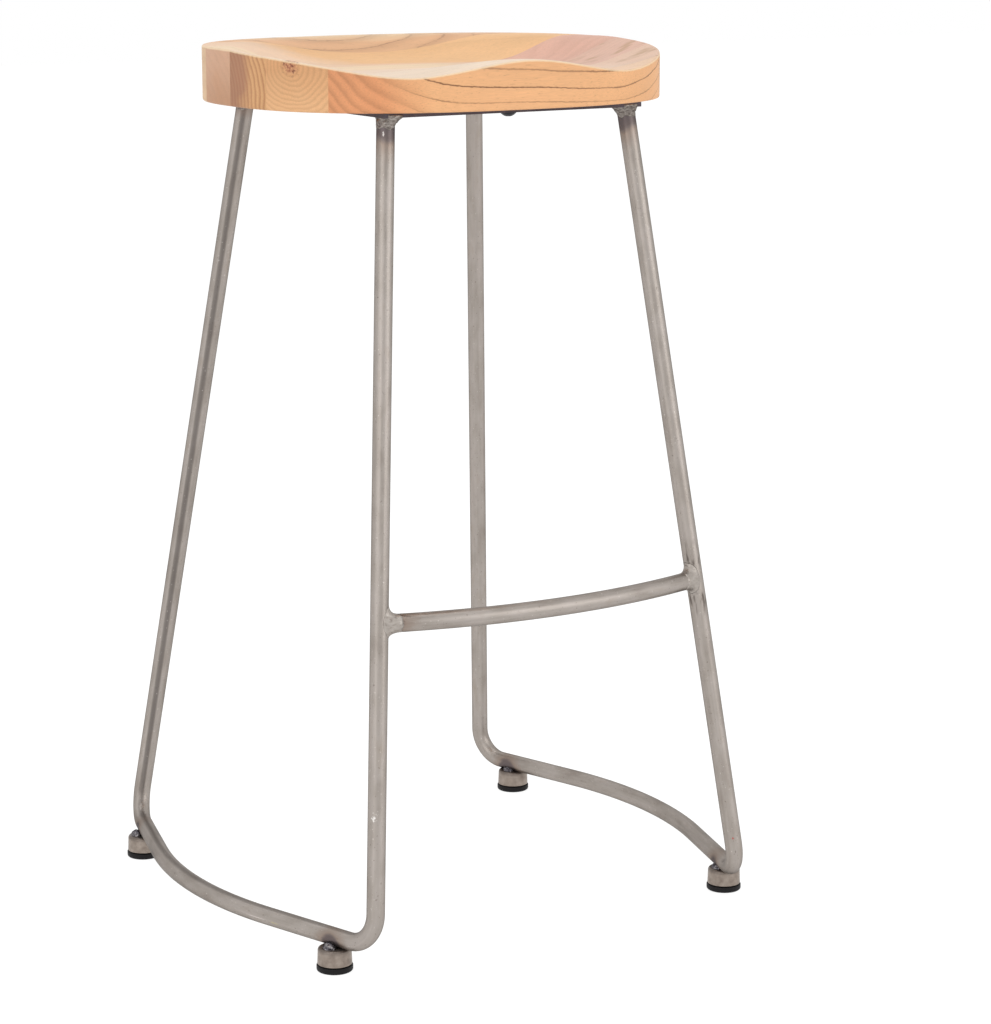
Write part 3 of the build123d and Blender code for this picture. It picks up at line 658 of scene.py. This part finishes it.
def make_frame_tubes(steel):
    """Both sleds and the footrest, with the marks that their welds leave on them."""
    corners = [FRONT_TOP, FRONT_CORNER, RAIL_PEAK, REAR_CORNER, REAR_TOP]
    radii = [BEND_RADIUS, RAIL_BOW_RADIUS, BEND_RADIUS]
    # Sides on which each sled's painted dark reflection starts
    painted_dark_reflection_sides = {"left": Vector((-0.55, 0.83, 0)), "right": Vector((1, 0, 0))}
    welds = [(FRONT_TOP, LEG_TOP_HEAT), (REAR_TOP, REAR_TOP_HEAT)]
    for corner in (FRONT_CORNER, REAR_CORNER):
        welds += [(middle, FOOT_HEAT) for middle in foot_lumps(corner)[:2]]
    soot = {"left": [], "right": [FOOTREST_END]}
    for name, place in (("left", mirrored), ("right", Vector)):
        line = bent_line([place(corner) for corner in corners], radii)
        own_welds = [(place(middle), reach) for middle, reach in welds]
        maker = tube_mesh(line, painted_dark_reflection_sides[name], sawn_level, sawn_level, own_welds, soot[name])
        finish_mesh(f"{name}_sled", maker, steel, "tube_steel", f"{name}_sled_tube")
    left_cut = coped_to(mirrored(FRONT_TOP), mirrored(FRONT_CORNER), -1)
    right_cut = coped_to(FRONT_TOP, FRONT_CORNER, 1)
    # Side of the footrest's painted dark reflection
    painted_dark_reflection = Vector((0, 1, -0.5))
    # Only the footrest's left end is tinted and sooty
    left_end = mirrored(FOOTREST_END)
    welds = [(left_end, FOOTREST_HEAT)]
    maker = tube_mesh(footrest_line(), painted_dark_reflection, left_cut, right_cut, welds, [left_end])
    finish_mesh("footrest", maker, steel, "tube_steel", "footrest_bar")


def rough_at(spot, waves):
    """Sum of noise at a spot, from pairs of a size and a number of waves per mm."""
    return sum(size * noise.noise(spot * rate) for size, rate in waves)


def add_collar(maker, top, corner):
    """A lumpy bead round a leg, from the seat bar down, with more metal towards the bar's middle.

    Its first two rings climb the bar's outer edge.
    """
    down = (corner - top) / (top.z - corner.z)
    lean = Vector((-math.copysign(COLLAR_LEAN, top.x), 0, 0))
    rings = []
    for step in range(-2, COLLAR_STEPS + 1):
        share = max(step, 0) / COLLAR_STEPS
        climb = UP * (COLLAR_CLIMB * max(-step, 0) / 2)
        ring = []
        for index in range(BEAD_SIDES):
            angle = 2 * math.pi * index / BEAD_SIDES
            out = Vector((math.cos(angle), math.sin(angle), 0))
            uneven = noise.noise((top + out * TUBE_RADIUS) * COLLAR_WAVES)
            height = COLLAR_HEIGHT * (1 + COLLAR_UNEVEN * uneven)
            facing = out.y * math.copysign(1, top.y)
            flare = COLLAR_FLARE
            if facing > BAR_FACING:
                to_edge = BAR_EDGE / facing - TUBE_RADIUS
                flare += (to_edge - flare) * min(1.0, (facing - BAR_FACING) / BAR_TURN)
            flare = COLLAR_SKIN + flare * (1 - share) ** 1.5
            spot = top + climb + down * (height * share) + lean * (1 - share) ** 1.2
            spot += out * (TUBE_RADIUS + flare)
            # The lumps die out over the lowest third
            spot += out * (rough_at(spot, COLLAR_LUMPS) * min(1.0, 3 * (1 - share)))
            ring.append(maker.verts.new(spot * MM))
        rings.append(ring)
    skin_rings(maker, rings)


def add_lump(maker, middle, along):
    """A blob of weld metal on top of a foot: a ball stretched three ways and roughened."""
    across = along.cross(UP)
    ball = bmesh.ops.create_icosphere(maker, subdivisions=5, radius=1.0)
    for vert in ball["verts"]:
        way = vert.co.copy()
        arm = along * (way.x * LUMP_SIZES[0]) + across * (way.y * LUMP_SIZES[1])
        arm += UP * (way.z * LUMP_SIZES[2])
        vert.co = (middle + arm * (1 + rough_at(middle + arm, LUMP_SWELLS))) * MM


def add_fillet(maker, edge, side):
    """The ground weld between the footrest and a leg: hollow, and taller above than below.

    Each of its lines runs from the leg, by the corner where the tubes meet, to the footrest.
    """
    place = Vector if side > 0 else mirrored
    axis = (place(FRONT_TOP) - place(FRONT_CORNER)).normalized()
    end = footrest_point(side * FOOTREST_SWEEP)
    stop = footrest_point(side * (FOOTREST_SWEEP - FILLET_END / FOOTREST_RADIUS))
    inward = (stop - end).normalized()
    across = (inward - axis * inward.dot(axis)).normalized()
    leg_front = across.cross(axis) * -side
    bar_front = inward.cross(UP) * -side

    def on_leg(turn, height, radius):
        return end + (across * math.cos(turn) + leg_front * math.sin(turn)) * radius + axis * height

    rings = [[] for step in range(FILLET_STEPS + 1)]
    for index in range(BEAD_SIDES):
        angle = 2 * math.pi * index / BEAD_SIDES
        turn = math.pi / 2 - math.acos(math.cos(angle))
        rise = math.sin(angle)
        reach = TUBE_RADIUS + (FILLET_UP if rise > 0 else FILLET_DOWN)
        corner = on_leg(turn, rise * TUBE_RADIUS, TUBE_RADIUS + FILLET_THROAT)
        uneven = noise.noise(corner * FILLET_WAVES)
        height = rise * reach * (1 + FILLET_UNEVEN * uneven)
        start = on_leg(FILLET_WRAP * math.cos(angle), height, TUBE_RADIUS)
        finish = stop + (UP * rise + bar_front * math.cos(angle)) * TUBE_RADIUS
        finish += inward * (FILLET_END_UNEVEN * uneven)
        for step, ring in enumerate(rings):
            share = step / FILLET_STEPS
            spot = start.lerp(corner, share).lerp(corner.lerp(finish, share), share)
            vert = maker.verts.new(spot * MM)
            vert[edge] = 1.0 if step == 0 else 0.0
            ring.append(vert)
    skin_rings(maker, rings)


def make_welds(laid, fused, ground):
    """The beads at the leg tops, on the feet and at the footrest's ends."""
    collars = bmesh.new()
    for top, corner in ((FRONT_TOP, FRONT_CORNER), (REAR_TOP, REAR_CORNER)):
        add_collar(collars, top, corner)
        add_collar(collars, mirrored(top), mirrored(corner))
    finish_mesh("leg_top_beads", collars, laid, "weld_steel", "leg_top_welds")
    lumps = bmesh.new()
    for corner in (FRONT_CORNER, REAR_CORNER):
        inner, outer, along = foot_lumps(corner)
        for middle in (inner, outer):
            add_lump(lumps, middle, along)
            add_lump(lumps, mirrored(middle), mirrored(along))
    finish_mesh("foot_beads", lumps, fused, "weld_steel", "foot_welds")
    fillets = bmesh.new()
    edge = fillets.verts.layers.float.new("weld_edge")
    for side in (-1, 1):
        add_fillet(fillets, edge, side)
    finish_mesh("footrest_beads", fillets, ground, "weld_steel", "footrest_welds")


for stave, wood in STAVES.items():
    nodes[stave].material_slots[0].material = oiled_fir("oiled_fir_" + stave[-1], **wood)

LAID_METAL = [(0.3, "#534B48"), (0.45, "#7A726C"), (0.58, "#958D87"), (0.75, "#B6B0AA")]
FUSED_METAL = [(0.3, "#37343A"), (0.48, "#5C595E"), (0.62, "#837F80"), (0.78, "#BDB9B8")]
GROUND_METAL = [(0.25, "#7E756F"), (0.4, "#A39B94"), (0.6, "#AFA8A1"), (0.8, "#B9B2AC")]
laid_weld = weld_steel("weld_steel_as_laid", LAID_METAL, 3.6, (0.5, 0.35), 0.6)
fused_weld = weld_steel("weld_steel_fused", FUSED_METAL, 3.2, (0.35, 0.22), 0.5)
ground_weld = weld_steel("weld_steel_ground", GROUND_METAL, 4.5, (0.45, 0.4), 0.15)
cup_steel = turned_steel()
# Hot-rolled bar keeps its mill scale, which is a dull violet black
bar_steel = cloudy_finish("mill_scale_bar_steel", "#3A3236", "#564C52", 14, 1.2, (0.45, 0.6), 0.6, 0.05)
# Black oxide is darker, with a little more gloss
bolt_black = cloudy_finish("black_oxide_steel", "#17161A", "#26242A", 5, 0.6, (0.35, 0.5), 0.5, 0.03)
# Zinc plate is a pale, bright grey, and turned brass a bright yellow
zinc = cloudy_finish("zinc_plated_steel", "#9A9C9E", "#C2C4C6", 6, 0.8, (0.3, 0.42), 0.9, 0.03)
brass = cloudy_finish("turned_brass", "#B08D4F", "#CDAA66", 6, 0.7, (0.3, 0.4), 0.95, 0.03)
# Moulded nylon is black and matt, with a fine grain from its mould
nylon = cloudy_finish("moulded_nylon_black", "#0F0E0F", "#1C1A1B", 6, 0.7, (0.5, 0.62), 0.0, 0.05)
nylon.node_tree.nodes["Principled BSDF"].inputs["Specular IOR Level"].default_value = 0.2

FINISHES = {
    "foot_cup": cup_steel, "seat_bar": bar_steel, "seat_bolts": bolt_black, "glide_pad": nylon,
    "glide_stud": zinc, "foot_nuts": zinc, "seat_inserts": brass,
}
for name, node in nodes.items():
    for part_of_name, finish in FINISHES.items():
        if part_of_name in name:
            node.material_slots[0].material = finish

make_frame_tubes(drawn_steel())
make_welds(laid_weld, fused_weld, ground_weld)


# Studio: a white floor and sweep, soft light from above and in front. Sizes are in metres.

FLOOR_HALF = 12.0

# Place, what it is aimed at, width, and watts
SOFTBOXES = {
    "left_softbox": ((-2.6, -1.3, 1.5), (0, 0, 0.5), 2.6, 16),
    "right_softbox": ((1.4, -2.6, 1.3), (0, 0, 0.5), 2.4, 17.5),
    "top_softbox": ((-0.2, 0.2, 3.0), (0, 0, 0.6), 2.2, 18),
}


def seen_directly(tree):
    """1 for a ray that shows the background, also in metal or glass, and 0 for one that lights."""
    path = add(tree, "LightPath").outputs
    seen = path["Is Camera Ray"]
    for kind in ("Is Glossy Ray", "Is Transmission Ray"):
        seen = add(tree, "Math", {0: seen, 1: path[kind]}, operation="MAXIMUM").outputs[0]
    return seen


def white_floor(scene):
    """White paper under the stool, which the camera sees as white with the stool's shadow on it."""
    mesh = bpy.data.meshes.new("floor")
    corners = [(x * FLOOR_HALF, y * FLOOR_HALF, 0) for x, y in ((-1, -1), (1, -1), (1, 1), (-1, 1))]
    mesh.from_pydata(corners, [], [(0, 1, 2, 3)])
    floor = bpy.data.objects.new("floor", mesh)
    scene.collection.objects.link(floor)
    material, tree, shader = new_material("studio_floor_white")
    shader.inputs["Base Color"].default_value = linear("#F4F3F2")
    shader.inputs["Roughness"].default_value = 0.9
    seen = seen_directly(tree)
    paper = add(tree, "BsdfDiffuse", {"Color": grey(0.32)}).outputs[0]
    glow = add(tree, "Emission", {"Color": grey(1.0), "Strength": 0.84}).outputs[0]
    sweep = add(tree, "AddShader", {0: paper, 1: glow}).outputs[0]
    look = add(tree, "MixShader", {0: seen, 1: shader.outputs[0], 2: sweep}).outputs[0]
    tree.links.new(look, tree.nodes["Material Output"].inputs["Surface"])
    mesh.materials.append(material)


def white_world(scene):
    """A white surround that lights a little less than it shows."""
    world = bpy.data.worlds.new("studio")
    scene.world = world
    world.use_nodes = True
    tree = world.node_tree
    strength = add(tree, "MapRange", {0: seen_directly(tree), 3: 0.7, 4: 1.0}).outputs[0]
    backdrop = tree.nodes["Background"]
    backdrop.inputs["Color"].default_value = grey(1.0)
    tree.links.new(strength, backdrop.inputs["Strength"])


def hang_softboxes(scene):
    for name, (where, target, width, watts) in SOFTBOXES.items():
        lamp = bpy.data.lights.new(name, "AREA")
        lamp.shape = "DISK"
        lamp.size = width
        lamp.energy = watts
        holder = bpy.data.objects.new(name, lamp)
        holder.location = where
        aim = Vector(target) - Vector(where)
        holder.rotation_euler = aim.to_track_quat("-Z", "Y").to_euler()
        scene.collection.objects.link(holder)


def set_camera(scene):
    """The photograph's own viewpoint, as fitted to the stool's known points."""
    camera = bpy.data.cameras.new("camera")
    camera.lens = 108.04
    camera.sensor_width = 36.0
    camera.shift_x = -0.0027
    camera.shift_y = -0.0019
    holder = bpy.data.objects.new("camera", camera)
    holder.location = (-1.4229, -2.41485, 0.9299)
    holder.rotation_euler = (math.radians(78.34), 0, math.radians(-31.83))
    scene.collection.objects.link(holder)
    scene.camera = holder


studio = bpy.context.scene
studio.view_settings.view_transform = "Standard"
white_floor(studio)
white_world(studio)
hang_softboxes(studio)
set_camera(studio)
